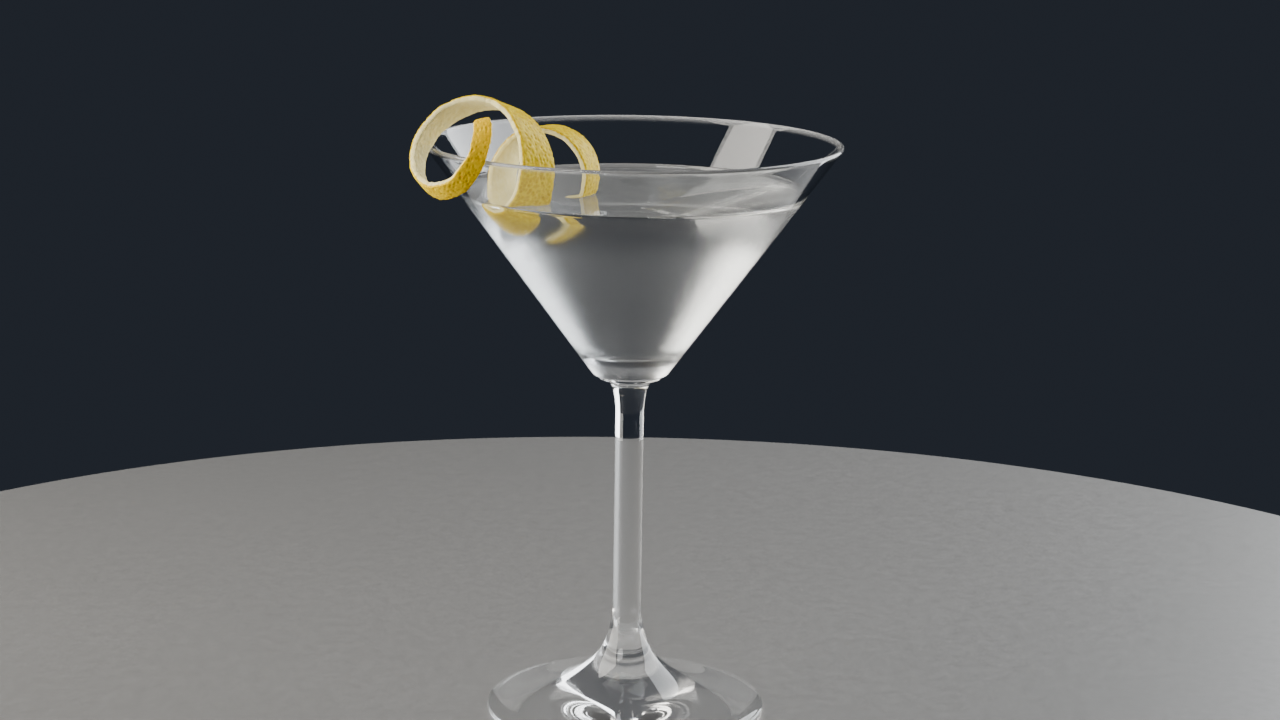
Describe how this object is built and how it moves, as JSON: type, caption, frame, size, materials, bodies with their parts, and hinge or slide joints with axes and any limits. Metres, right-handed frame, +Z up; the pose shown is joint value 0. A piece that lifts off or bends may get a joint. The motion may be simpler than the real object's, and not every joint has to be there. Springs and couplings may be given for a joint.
{
  "type": "martini cocktail",
  "caption": "Clear cocktail in a stemmed glass with a wide conical bowl, slim stem and round foot, with a curled lemon twist hooked over the rim.",
  "frame": {"origin": "centre of the foot's underside, on the surface that the glass stands on", "axes": "+Z up along the stem; the lemon twist hooks over the rim on the -X side, towards -Y, which is the front"},
  "size_m": [0.1193, 0.118, 0.182],
  "materials": {
    "clear_glass": "clear polished glass, misted outside the chilled bowl",
    "clear_drink": "clear chilled spirit, very faintly straw coloured",
    "lemon_peel": "waxy pored yellow zest outside, matte cream pith inside"
  },
  "bodies": {
    "root": {"glass": "clear_glass", "drink": "clear_drink", "lemon_twist": "lemon_peel"}
  },
  "joints": []
}
